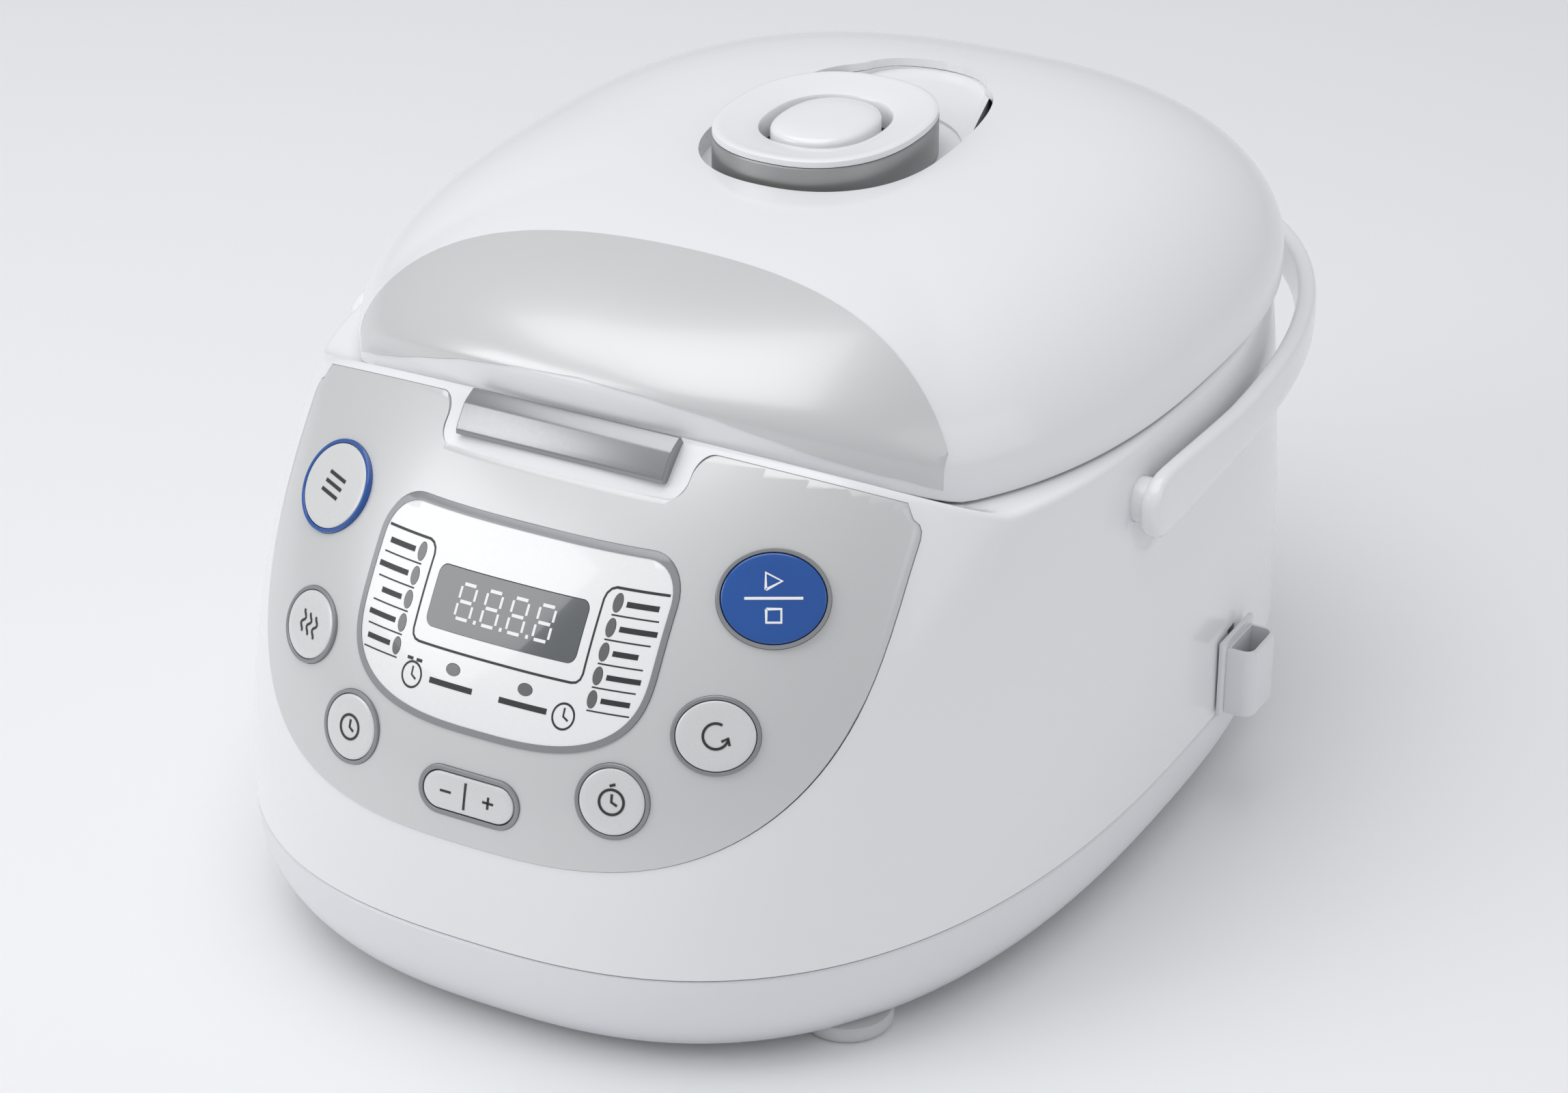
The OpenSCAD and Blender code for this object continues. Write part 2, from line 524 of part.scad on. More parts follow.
module handle_stop() color(dark) place() mx() translate([124.4, handle_y, handle_z]) rotate([0, 90, 0]) difference() {
    cylinder(h = 3.2, r = 9.5, $fn = 32);
    translate([0, 0, -1]) cylinder(h = 6, r = handle_pin_r + run, $fn = 32);
}

// ---- scoop holder ----
module scoop_holder() color(white2) place() difference() {
    union() {
        translate([139.3, 20.4, 36]) cube([1.8, 24, 26]);
        translate([141, 22.4, 36.4]) linear_extrude(23) hull() {
            square([3, 20]);
            for (y = [4, 16]) translate([5.5, y]) circle(r = 4, $fn = 28);
        }
        for (z = [38, 51]) translate([133, 30.4, z]) cube([7, 5.4, 2.4]);
    }
    translate([142, 23.8, 38]) linear_extrude(30) hull() {
        square([3, 17.2]);
        for (y = [3, 14.2]) translate([4.2, y]) circle(r = 2.9, $fn = 28);
    }
}

body_shell();
deck_ring();
base_shell();
front_feet();
rear_feet();
well_case();
heating_plate();
side_heater();
centre_sensor();
sensor_spring();
inner_pot();
power_board();
transformer();
relay();
thermal_fuse();
inlet_socket();
inlet_pins();
base_screws();
control_panel();
panel_insert();
insert_rim();
display_window();
indicator_lights();
control_board();
display_module();
board_screws();
key_bezels();
rocker_bezel();
menu_key();
keep_warm_key();
timer_key();
preset_key();
reheat_key();
start_key();
time_rocker();
rocker_pin();
latch_button();
latch_pin();
latch_bracket();
lid_cover();
vent_pan();
lid_trim();
lid_frame();
inner_lid();
lid_gasket();
lid_boss();
lid_catch();
lid_screws();
vent_body();
vent_cap();
vent_grommet();
hinge_shaft();
hinge_bracket();
hinge_spring();
handle();
handle_stop();
scoop_holder();
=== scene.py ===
import json
from math import cos, pi, radians, sin, sqrt

import bmesh
import bpy
from mathutils import Matrix, Vector


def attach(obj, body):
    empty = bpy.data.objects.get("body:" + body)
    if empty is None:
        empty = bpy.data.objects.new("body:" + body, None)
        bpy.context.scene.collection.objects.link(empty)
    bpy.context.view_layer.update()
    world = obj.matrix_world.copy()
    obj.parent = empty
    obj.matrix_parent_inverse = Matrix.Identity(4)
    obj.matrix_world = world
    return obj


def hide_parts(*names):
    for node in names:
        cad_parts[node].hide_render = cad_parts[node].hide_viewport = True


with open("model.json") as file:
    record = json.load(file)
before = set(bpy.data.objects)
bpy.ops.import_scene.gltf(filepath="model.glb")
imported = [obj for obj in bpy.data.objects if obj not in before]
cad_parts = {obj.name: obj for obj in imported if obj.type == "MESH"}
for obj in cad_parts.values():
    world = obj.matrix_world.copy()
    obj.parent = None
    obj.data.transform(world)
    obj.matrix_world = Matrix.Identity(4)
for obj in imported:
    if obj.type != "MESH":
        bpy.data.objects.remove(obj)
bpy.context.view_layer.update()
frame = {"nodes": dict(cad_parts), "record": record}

# Shapes are worked out in millimetres round the shell's mirror plane and
# turned to metres in the row frame by piece().
SHIFT = -3.75
SEAM, BASE = 35.0, 5.0
LID_TOP, LID_Y = 205.4, 25.0
HINGE_Y, HINGE_Z = 170.0, 157.0
VENT_Y, VENT_Z = 18.0, 199.0
AROUND = 240

# ---------------------------------------------------------------- finishes


def linear(code):
    """sRGB hex to the linear colour that a shader takes."""
    part = [int(code[i:i + 2], 16) / 255 for i in (0, 2, 4)]
    return tuple(c / 12.92 if c <= 0.04045 else ((c + 0.055) / 1.055) ** 2.4 for c in part) + (1.0,)


def add(tree, kind, inputs=None, **settings):
    """Adds a shader node with its settings, values and links."""
    node = tree.nodes.new("ShaderNode" + kind)
    for key, value in settings.items():
        setattr(node, key, value)
    for key, value in (inputs or {}).items():
        if isinstance(value, bpy.types.NodeSocket):
            tree.links.new(value, node.inputs[key])
        else:
            node.inputs[key].default_value = value
    return node


def finish(name, dark, light, rough, peel=1.2, height=0.02, drift=60.0, spread=0.05,
           stretch=(1, 1, 1), **shader):
    """A moulded, painted or turned surface: the colour drifts between dark
    and light over drift mm, the surface waves by height mm every peel mm,
    and the gloss varies by spread."""
    mat = bpy.data.materials.new(name)
    mat.use_nodes = True
    tree = mat.node_tree
    tree.nodes.clear()
    where = add(tree, "TexCoord")
    laid = add(tree, "Mapping", {"Vector": where.outputs["Object"], "Scale": stretch})
    wide = add(tree, "TexNoise", {"Vector": laid.outputs["Vector"], "Scale": 1000 / drift, "Detail": 2.0})
    fine = add(tree, "TexNoise", {"Vector": laid.outputs["Vector"], "Scale": 1000 / peel, "Detail": 3.0})
    tint = add(tree, "Mix", {"Factor": wide.outputs["Fac"]}, data_type="RGBA")
    tint.inputs[6].default_value = linear(dark)
    tint.inputs[7].default_value = linear(light)
    gloss = add(tree, "MapRange", {"Value": fine.outputs["Fac"], "From Min": 0.3, "From Max": 0.7,
                                   "To Min": max(0.02, rough - spread), "To Max": rough + spread})
    bump = add(tree, "Bump", {"Height": fine.outputs["Fac"], "Strength": 0.4, "Distance": height / 1000})
    skin = add(tree, "BsdfPrincipled", {"Base Color": tint.outputs[2], "Roughness": gloss.outputs["Result"],
                                        "Normal": bump.outputs["Normal"], **shader})
    add(tree, "OutputMaterial", {"Surface": skin.outputs["BSDF"]})
    return mat


# ABS, injection moulded and polished: bright white with a faint orange peel
SHELL_WHITE = finish("abs_polished_white", "EEEFF1", "F3F4F5", 0.2, peel=3.0, height=0.004, drift=140,
                     spread=0.02,
                     **{"Coat Weight": 0.35, "Coat Roughness": 0.08})
# the same resin from the duller base tool: a little greyer and softer
BASE_WHITE = finish("abs_satin_white", "E4E5E8", "E9EAEC", 0.3, peel=2.2, height=0.004, drift=120,
                    spread=0.02)
# ABS under pearl lacquer: warm light grey with a fine metallic sparkle
PEARL = finish("abs_pearl_lacquer", "D3D3D3", "DADADA", 0.34, peel=0.9, height=0.002, drift=90, spread=0.03,
               **{"Metallic": 0.22, "Coat Weight": 0.4, "Coat Roughness": 0.12})
# satin silver paint on ABS
SILVER = finish("silver_paint_satin", "969799", "A2A3A5", 0.3, peel=0.8, height=0.002, drift=70, spread=0.02,
                **{"Metallic": 0.85})
VENT_SILVER = finish("silver_paint_matt", "A0A09F", "ACACAB", 0.38, peel=0.8, height=0.003, drift=50,
                     spread=0.02,
                     **{"Metallic": 0.7})
# printed and lacquered label plate: flat clean white
LABEL_WHITE = finish("label_plate_white", "F4F4F4", "F8F8F8", 0.25, peel=2.0, height=0.004, drift=80,
                     **{"Coat Weight": 0.5, "Coat Roughness": 0.06})
# satin grey paint on thin trim rings: a dull even line round each key
RING_GREY = finish("ring_paint_grey", "909193", "9B9C9E", 0.35, peel=0.7, height=0.008, drift=40,
                   **{"Metallic": 0.35})
# tinted acrylic over an unlit display
WINDOW_GREY = finish("acrylic_tinted_grey", "5E6163", "666A6B", 0.12, peel=4.0, height=0.003, drift=45,
                     spread=0.02, **{"Coat Weight": 0.8, "Coat Roughness": 0.03})
# smoked polycarbonate lenses, unlit: small dark glossy ovals
LENS_GREY = finish("lens_smoked", "626364", "6D6E6F", 0.22, peel=0.8, height=0.01, drift=15,
                   **{"Coat Weight": 0.4})
# screen-printed inks, slightly uneven at the edge of the print
INK_DARK = finish("ink_charcoal", "2A2A2B", "333335", 0.42, peel=0.4, height=0.006, drift=12)
INK_WHITE = finish("ink_white", "F6F7F7", "FCFCFC", 0.4, peel=0.4, height=0.006, drift=12)
# blue ink under clear lacquer: the one strong colour, with a sharp shine
INK_BLUE = finish("key_print_blue", "0A4C9C", "0E56A9", 0.24, peel=1.4, height=0.008, drift=25,
                  **{"Coat Weight": 0.6, "Coat Roughness": 0.05})
# key caps in pearl lacquer: a shade lighter than the panel
KEY_SKIN = finish("key_cap_pearl", "DCDCDC", "E3E3E3", 0.3, peel=1.0, height=0.01, drift=30,
                  **{"Metallic": 0.1, "Coat Weight": 0.4, "Coat Roughness": 0.1})
# spark-textured black ABS: dark and dull in the vent floor and the inlet
DARK_ABS = finish("abs_black_textured", "1D1D1F", "29292B", 0.55, peel=0.6, height=0.05, drift=30)
# pale rubber: matt, with no highlight
FOOT_RUBBER = finish("rubber_pale_grey", "C9CACB", "D4D5D5", 0.62, peel=0.8, height=0.05, drift=20)
# rolled steel: grey, with its grain drawn out one way
STEEL = finish("steel_rolled", "A5A8AB", "BDC0C3", 0.3, peel=0.5, height=0.01, drift=18, stretch=(1, 1, 6),
               **{"Metallic": 1.0})
# spun aluminium: bright and soft, on the inner lid and heating plate
ALUMINIUM = finish("aluminium_spun", "BFC1C3", "D2D3D5", 0.34, peel=0.6, height=0.012, drift=25,
                   **{"Metallic": 1.0})
# non-stick coating: near black with fine pale specks
POT_COAT = finish("nonstick_speckled", "1E1F21", "4A4C50", 0.42, peel=0.5, height=0.03, drift=1.6,
                  **{"Metallic": 0.25})
# cast silicone: milky and soft at the edges
SILICONE = finish("silicone_translucent", "CFCFCB", "DADAD6", 0.5, peel=1.5, height=0.02, drift=20,
                  **{"Subsurface Weight": 0.15, "Subsurface Radius": (0.002, 0.002, 0.002)})
# mica sheet round the heater: tan, flaky and dull
MICA = finish("mica_band", "9C8C6E", "C9B892", 0.6, peel=1.8, height=0.08, drift=5)
# lacquered glass-fibre board: dark green with a slight shine
BOARD = finish("board_lacquer_green", "1F4A30", "2F6443", 0.35, peel=0.9, height=0.03, drift=6)
# moulded polyester relay case: plain blue, half gloss
CASE_BLUE = finish("case_blue", "27487A", "2F5590", 0.4, peel=1.0, height=0.02, drift=15)
# unglazed ceramic fuse body: tan and chalky
CERAMIC = finish("ceramic_tan", "B79F74", "CBB389", 0.6, peel=0.7, height=0.04, drift=8)

BY_SLOT = {
    "shell_white": SHELL_WHITE, "base_white": BASE_WHITE, "rubber_foot": FOOT_RUBBER, "pearl_panel": PEARL,
    "insert_white": LABEL_WHITE, "ring_grey": RING_GREY, "display_grey": WINDOW_GREY,
    "indicator_grey": LENS_GREY, "key_white": KEY_SKIN, "key_blue": INK_BLUE, "satin_silver": SILVER,
    "aluminium_part": ALUMINIUM, "pot_coating": POT_COAT, "steel_part": STEEL, "heater_foil": MICA,
    "board_green": BOARD, "dark_plastic": DARK_ABS, "relay_blue": CASE_BLUE, "fuse_tan": CERAMIC,
    "silicone": SILICONE}
for part in frame["record"]["subparts"]:
    node = frame["nodes"][part["node"]]
    node.data.materials.clear()
    node.data.materials.append(BY_SLOT[part["material_slot"]])

# ---------------------------------------------------------------- shell shape


def lean(z, k):
    return k * max(0.0, (z - SEAM) / 100) ** 2.25


def tuck(z, k):
    return k * max(0.0, (SEAM - z) / (SEAM - BASE)) ** 2.4


def size_at(z, d=0.0):
    """Half width, reach to the front and reach to the back at height z."""
    return (139 - lean(z, 5.1) - tuck(z, 12) + d, 202 - lean(z, 32.8) - tuck(z, 13) + d,
            181 - lean(z, 1.3) - tuck(z, 12) + d)


def outline(turn, a, f, r):
    c, s = cos(turn), sin(turn)
    b, n = (f, 2.6) if s < 0 else (r, 2.53)
    k = (abs(c / a) ** n + abs(s / b) ** n) ** (-1 / n)
    return k * c, k * s


def front_y(x, z, d=0.0):
    a, f, _ = size_at(z, d)
    return -f * (1 - (abs(x) / a) ** 2.6) ** (1 / 2.6)


def joint_z(y):
    """Height of the line where the lid meets the body."""
    t = max(0.0, -(y + 90))
    return 152 + 0.62 * t * t / (t + 8)


def solve(low, high, above):
    for _ in range(32):
        mid = (low + high) / 2
        low, high = (mid, high) if above(mid) else (low, mid)
    return low


def body_top(turn, d):
    return solve(120, 200, lambda z: joint_z(outline(turn, *size_at(z, d))[1]) - 0.35 > z)


def front_top(x, gap):
    """Height of the joint line on the front surface at x, less gap."""
    return solve(120, 200, lambda z: joint_z(front_y(x, z)) - gap > z)


def turns(count=AROUND):
    return [2 * pi * (i + 0.5) / count for i in range(count)]


def body_ring(height, d=0.0):
    ring = []
    for turn in turns():
        z = height(turn)
        x, y = outline(turn, *size_at(z, d))
        ring.append((x, y, z))
    return ring


def lid_ring(q, d=0.0, z_of=None):
    ring = []
    for turn in turns():
        ex, ey = outline(turn, 131 + d, 157 + d, 154 + d)
        rim = joint_z(ey + LID_Y) + 9
        x, y = ex * q, ey * q + LID_Y
        z = z_of(ey + LID_Y) if z_of else rim + (LID_TOP - rim) * (1 - q ** 4.12) ** (1 / 1.59) + d
        ring.append((x, y, z))
    return ring


# ---------------------------------------------------------------- mesh tools


def loft(rings, closed=False, bottom=False, top=False):
    """A skin through rings of points. closed joins the last ring to the
    first, bottom and top fill the ends."""
    bm = bmesh.new()
    verts = bmesh.ops.create_circle(bm, segments=len(rings[0]), radius=1)["verts"]
    for v, p in zip(verts, rings[0]):
        v.co = p
    bm.verts.index_update()
    first = edges = list(bm.edges)
    at = {tuple(v.co): i for i, v in enumerate(verts)}
    for ring in rings[1:]:
        made = bmesh.ops.extrude_edge_only(bm, edges=edges)["geom"]
        edges = [g for g in made if isinstance(g, bmesh.types.BMEdge)]
        new = [(at[tuple(g.co)], g) for g in made if isinstance(g, bmesh.types.BMVert)]
        for i, v in new:
            v.co = ring[i]
        at = {tuple(v.co): i for i, v in new}
    if closed:
        bmesh.ops.bridge_loops(bm, edges=first + edges)
    if bottom:
        bmesh.ops.edgeloop_fill(bm, edges=first)
    if top:
        bmesh.ops.edgeloop_fill(bm, edges=edges)
    bmesh.ops.recalc_face_normals(bm, faces=bm.faces)
    return bm


def prism(points, low, high, along="y"):
    """A flat outline drawn out from low to high, along y or z."""
    bm = bmesh.new()
    bm.faces.new([bm.verts.new((p[0], low, p[1]) if along == "y" else (p[0], p[1], low)) for p in points])
    made = bmesh.ops.extrude_face_region(bm, geom=list(bm.faces))["geom"]
    step = (0, high - low, 0) if along == "y" else (0, 0, high - low)
    bmesh.ops.translate(bm, verts=[g for g in made if isinstance(g, bmesh.types.BMVert)], vec=step)
    bmesh.ops.recalc_face_normals(bm, faces=bm.faces)
    return bm


def layer(inner, outer, x0, x1, z0, z1, step=2.0):
    """A sheet of the front surface between two offsets."""
    bm = bmesh.new()
    bmesh.ops.create_grid(bm, x_segments=int((x1 - x0) / step), y_segments=int((z1 - z0) / step), size=0.5)
    for v in bm.verts:
        x, z = x0 + (v.co.x + 0.5) * (x1 - x0), z0 + (v.co.y + 0.5) * (z1 - z0)
        v.co = (x, front_y(x, z, outer), z)
    made = bmesh.ops.extrude_face_region(bm, geom=list(bm.faces))["geom"]
    for v in (g for g in made if isinstance(g, bmesh.types.BMVert)):
        v.co.y = front_y(v.co.x, v.co.z, inner)
    bmesh.ops.recalc_face_normals(bm, faces=bm.faces)
    return bm


def block(x0, x1, y0, y1, z0, z1):
    bm = bmesh.new()
    bmesh.ops.create_cube(bm, size=1)
    bmesh.ops.scale(bm, verts=bm.verts, vec=(x1 - x0, y1 - y0, z1 - z0))
    bmesh.ops.translate(bm, verts=bm.verts, vec=((x0 + x1) / 2, (y0 + y1) / 2, (z0 + z1) / 2))
    return bm


def rod(start, end, radius, segments=64):
    """A plain round bar between two points."""
    start, end = Vector(start), Vector(end)
    bm = bmesh.new()
    bmesh.ops.create_cone(bm, cap_ends=True, segments=segments, radius1=radius, radius2=radius,
                          depth=(end - start).length)
    turn = (end - start).to_track_quat("Z", "Y").to_matrix().to_4x4()
    bmesh.ops.transform(bm, matrix=Matrix.Translation((start + end) / 2) @ turn, verts=bm.verts)
    return bm


def join(*parts):
    """Several meshes as one. The first is kept and the rest are freed."""
    base = parts[0]
    for part in parts[1:]:
        mesh = bpy.data.meshes.new("join")
        part.to_mesh(mesh)
        part.free()
        base.from_mesh(mesh)
        bpy.data.meshes.remove(mesh)
    return base


def combine(a, b, how="DIFFERENCE"):
    """One solid cut, clipped or joined by another, both freed."""
    pair = []
    for bm in (a, b):
        mesh = bpy.data.meshes.new("work")
        bm.to_mesh(mesh)
        bm.free()
        pair.append(bpy.data.objects.new("work", mesh))
        bpy.context.scene.collection.objects.link(pair[-1])
    mod = pair[0].modifiers.new("cut", "BOOLEAN")
    mod.operation, mod.object, mod.solver = how, pair[1], "EXACT"
    out = bmesh.new()
    out.from_object(pair[0], bpy.context.evaluated_depsgraph_get())
    for ob in pair:
        mesh = ob.data
        bpy.data.objects.remove(ob)
        bpy.data.meshes.remove(mesh)
    return out


def soften(bm, width, segments=2, angle=40, keep=None):
    """Rounds the sharp edges of a solid."""
    bmesh.ops.remove_doubles(bm, verts=bm.verts, dist=1e-4)
    edges = [e for e in bm.edges if len(e.link_faces) == 2 and e.calc_face_angle(0) > radians(angle)
             and (keep is None or keep(e))]
    bmesh.ops.bevel(bm, geom=edges, affect="EDGES", offset=width, segments=segments, profile=0.5,
                    material=-1, clamp_overlap=True)
    return bm


def piece(name, bm, body, finish_of, slot, *nodes, sharp=35):
    """The finished piece: metres, row frame, smooth but for its edges."""
    bmesh.ops.remove_doubles(bm, verts=bm.verts, dist=1e-4)
    bmesh.ops.recalc_face_normals(bm, faces=bm.faces)
    bmesh.ops.translate(bm, verts=bm.verts, vec=(SHIFT, 0, 0))
    bmesh.ops.scale(bm, verts=bm.verts, vec=(0.001, 0.001, 0.001))
    mesh = bpy.data.meshes.new(name)
    bm.to_mesh(mesh)
    bm.free()
    mesh.shade_smooth()
    mesh.set_sharp_from_angle(angle=radians(sharp))
    mesh.materials.append(finish_of)
    ob = bpy.data.objects.new(name, mesh)
    bpy.context.scene.collection.objects.link(ob)
    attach(ob, body)
    if nodes:
        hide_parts(*nodes)
    return ob


def arc(cx, cy, r, start, end, count=8):
    return [(cx + r * cos(radians(start + (end - start) * i / count)),
             cy + r * sin(radians(start + (end - start) * i / count))) for i in range(count + 1)]


def low_curve(w, h, centre, n, count=60):
    """Lower half of a rounded outline, left to right."""
    pts = []
    for i in range(count + 1):
        t = pi + pi * i / count
        x = w * (1 if cos(t) > 0 else -1) * abs(cos(t)) ** (2 / n)
        pts.append((x, centre - h * abs(sin(t)) ** (2 / n)))
    return pts


def stadium(w, h, count=16):
    return arc(w - h, 0, h, -90, 90, count) + arc(h - w, 0, h, 90, 270, count)


# ---------------------------------------------------------------- body


def steps(a, b, count):
    return [a + (b - a) * i / count for i in range(count + 1)]


tops = {}
for d in (0.0, -1.6, -3.0):
    tops[d] = dict(zip(turns(), (body_top(t, d) for t in turns())))


def panel_outline(grow=0.0, gap=2.6):
    """Front view of the key panel, with the notch round the latch."""
    def edge(x):
        return front_top(x, gap - grow)
    right = [(102 + grow, 152), (101.7 + grow, 154), (100.8 + grow, 155.8)]
    right += [(99.2 + grow * 0.7, 157.2 + grow * 0.5)]
    right += [(x, edge(x)) for x in steps(97, 50, 12)]
    n = 40.8 - grow
    r1, r2 = 5.0 - grow, 4.5 + grow
    high, low = edge(n + r1), 161.2 - grow
    right += arc(n + r1, high - r1, r1, 90, 180, 8)
    right += arc(n - r2, low + r2, r2, 0, -90, 8)
    left = [(-x, z) for x, z in reversed(right)]
    return low_curve(102 + grow, 83.5 + grow, 150, 3.2) + right + left


def insert_outline(inset=0.0):
    top = arc(37.8, 138.5, 11.5 - inset, 0, 90, 10)
    return (low_curve(49.3 - inset, 27.5 - inset, 125, 3.0) + top + [(-x, z) for x, z in reversed(top)])


def window_outline(grow=0.0):
    r = 2.4 + grow
    return (arc(22.4, 134.1, r, 0, 90) + arc(-22.4, 134.1, r, 90, 180) + arc(-22.4, 123.9, r, 180, 270)
            + arc(22.4, 123.9, r, 270, 360))


KEYS = {
    "menu": (-73.2, 141.4, -28.8, 34.4, 14.8, 12.8), "keep_warm": (-67.8, 107.9, -26.2, 25, 11.3, 9.9),
    "timer": (-43.7, 88.5, -12.9, 17, 9.6, 9.6), "preset": (43.7, 88.5, 12.9, 17, 9.6, 9.6),
    "reheat": (67.8, 107.9, 26.2, 25, 11.3, 9.9), "start": (73.2, 141.4, 28.8, 34.4, 14.8, 12.8)}
ROCKER = (0.0, 80.7, 0.0, 14.0)


def on_front(x, z, az, el):
    """Places a shape drawn flat, facing +Z, on the front surface."""
    return (Matrix.Translation((x, front_y(x, z), z)) @ Matrix.Rotation(radians(az), 4, "Z")
            @ Matrix.Rotation(radians(90 - el), 4, "X"))


def placed(bm, matrix):
    bmesh.ops.transform(bm, matrix=matrix, verts=bm.verts)
    return bm


def oval_ring(w, h, z, count=96):
    return [(w * cos(t), h * sin(t), z) for t in turns(count)]


def oval_solid(w, h, profile, count=96):
    """Round or oval solid from (inset, height) pairs."""
    return loft([oval_ring(w - i, h - i, z, count) for i, z in profile], bottom=True, top=True)


def hole_cutters(slack):
    cut = [placed(oval_solid(k[4] + slack, k[5] + slack, [(0, -14), (0, 8)]), on_front(*k[:4]))
           for k in KEYS.values()]
    cut.append(placed(prism(stadium(15.4 + slack, 5.9 + slack), -12, 8, "z"), on_front(*ROCKER)))
    return join(*cut)


def shell_body():
    rim = [body_ring(lambda t, u=u: SEAM + 0.75 + (tops[0.0][t] - 1.6 - SEAM - 0.75) * u)
           for u in steps(0, 1, 34)]
    seam = [body_ring(lambda t: SEAM + 0.3, -0.5)]
    lip = [body_ring(lambda t, s=s: tops[0.0][t] - 1.6 + 1.6 * sin(s), 1.6 * (cos(s) - 1))
           for s in steps(pi / 10, pi / 2, 4)]
    deck = []
    edge = lip[-1]
    for k in steps(0.06, 1, 12):
        ring = []
        for turn, (x, y, z) in zip(turns(), edge):
            wx, wy = 111.6 * cos(turn), 20 + 111.6 * sin(turn)
            px, py = x + (wx - x) * k, y + (wy - y) * k
            ring.append((px, py, joint_z(py) - 0.35))
        deck.append(ring)
    hole = [[(r * cos(t), 20 + r * sin(t), z) for t in turns()]
            for r, z in ((111.6, 148.9), (107, 148.9), (107, 146), (107, 143))]
    wall = body_ring(lambda t: tops[-3.0][t] - 9, -3.0)
    under = [[(hx + (wx - hx) * k, hy + (wy - hy) * k, joint_z(hy + (wy - hy) * k) - 9)
              for (hx, hy, _), (wx, wy, _) in zip(hole[-1], wall)] for k in steps(0.2, 0.8, 3)]
    inner = [body_ring(lambda t, u=u: tops[-3.0][t] - 9 + (SEAM + 0.3 - tops[-3.0][t] + 9) * u, -3.0)
             for u in steps(0, 1, 10)]
    bm = loft(seam + rim + lip + deck + hole + under + inner, closed=True)
    # the block that carries the latch, then every pocket and opening
    pocket = combine(layer(-1.9, 6, -108, 108, 58, 184, 3), prism(panel_outline(0.3), -240, -90), "INTERSECT")
    bm = combine(bm, pocket)
    window = low_curve(94, 78, 148, 3.2) + [(94, 154), (-94, 154)]
    bm = combine(bm, prism(window, -240, -128))
    dish = []
    for side in (-1, 1):
        ball = bmesh.new()
        bmesh.ops.create_uvsphere(ball, u_segments=64, v_segments=32, radius=20)
        bmesh.ops.scale(ball, verts=ball.verts, vec=(0.3, 1.15, 1.0))
        bmesh.ops.translate(ball, verts=ball.verts, vec=(side * 138.3, -33, 135))
        dish.append(ball)
    bm = combine(bm, join(*dish))
    tray = prism([(-140, 162.4), (-120.9, 162.4), (-120.9, 230), (-170, 230), (-170, 162.4)], -38.4, 38.4)
    for v in tray.verts:
        v.co = (v.co.y, v.co.x, v.co.z)
    bmesh.ops.recalc_face_normals(tray, faces=tray.faces)
    soften(tray, 2.5, 4, 40, keep=lambda e: max(v.co.z for v in e.verts) > 200 > min(v.co.z for v in e.verts))
    bm = combine(bm, tray)
    rest = join(rod((-150, -33, 135), (-110, -33, 135), 7.06), rod((110, -33, 135), (150, -33, 135), 7.06),
                rod((-66, HINGE_Y, HINGE_Z), (66, HINGE_Y, HINGE_Z), 11), block(-14, 14, 150, 190, 46, 66),
                block(130, 150, 30.1, 36.1, 37.7, 48.7), block(130, 150, 30.1, 36.1, 50.7, 61.7),
                block(-11, 11, -120.4, -111, 150, 210))
    return combine(bm, rest)


piece("shell", shell_body(), "body", SHELL_WHITE, "shell_white", "body_shell")


def shell_base():
    heights = (5.0, 5.15, 5.5, 6.2, 7.2, 8.6, 10.5, 13, 16, 19.5, 23, 27, 31, 34.3)
    outer = [body_ring(lambda t, z=z: z) for z in heights]
    flat = [[(x * k, y * k, BASE) for x, y, _ in outer[0]] for k in (0.3, 0.7, 0.95, 0.985)]
    edge = [body_ring(lambda t: SEAM, -0.5), body_ring(lambda t: SEAM, -3.0)]
    inner = [body_ring(lambda t, z=z: z, -3.0) for z in (30, 24, 18, 13, 10, 8)]
    floor = [[(x * 0.5, y * 0.5, 8) for x, y, _ in inner[-1]]]
    bm = loft(flat + outer + edge + inner + floor, bottom=True, top=True)
    holes = [rod((x, y, -1), (x, y, 7.9), 1.8, 24) for x in (-91, 91) for y in (-138, 120)]
    return combine(bm, join(*holes))


piece("base", shell_base(), "body", BASE_WHITE, "base_white", "base_shell")


def feet(y):
    parts = []
    for x in (-91, 91):
        side = [(4, 0), (1.6, 0), (0.7, 0.35), (0.15, 1.1), (0, 2.2), (0, 4.2), (0.6, 5.0)]
        foot = oval_solid(14, 14, side, 64)
        bmesh.ops.translate(foot, verts=foot.verts, vec=(x, y, 0))
        parts.append(foot)
    return join(*parts)


piece("foot_pair_front", feet(-138), "body", FOOT_RUBBER, "rubber_foot", "front_feet")
piece("foot_pair_rear", feet(120), "body", FOOT_RUBBER, "rubber_foot", "rear_feet")

# ---------------------------------------------------------------- panel


def panel():
    sheet = combine(layer(-1.8, 0.35, -108, 108, 58, 184), prism(panel_outline(), -240, -90), "INTERSECT")
    cut = join(hole_cutters(1.5), prism(window_outline(0.2), -240, -120))
    sheet = combine(sheet, cut)
    recess = layer(-0.6, 3, -60, 60, 88, 160, 3)
    recess = combine(recess, prism(insert_outline(-0.1), -240, -120), "INTERSECT")
    return combine(sheet, recess)


piece("key_panel", panel(), "body", PEARL, "pearl_panel", "control_panel", sharp=50)
plate = combine(layer(-0.58, 0.6, -60, 60, 88, 160), prism(insert_outline(1.75), -240, -120), "INTERSECT")
LIGHTS = [(s * 32.6, 137.4 - 5.85 * i, 1.35, 2.2) for s in (-1, 1) for i in range(5)]
LIGHTS += [(s * 12, 112.7, 2.3, 1.5) for s in (-1, 1)]


def oval_outline(x, z, w, h, count=24):
    return [(x + w * cos(t), z + h * sin(t)) for t in turns(count)]


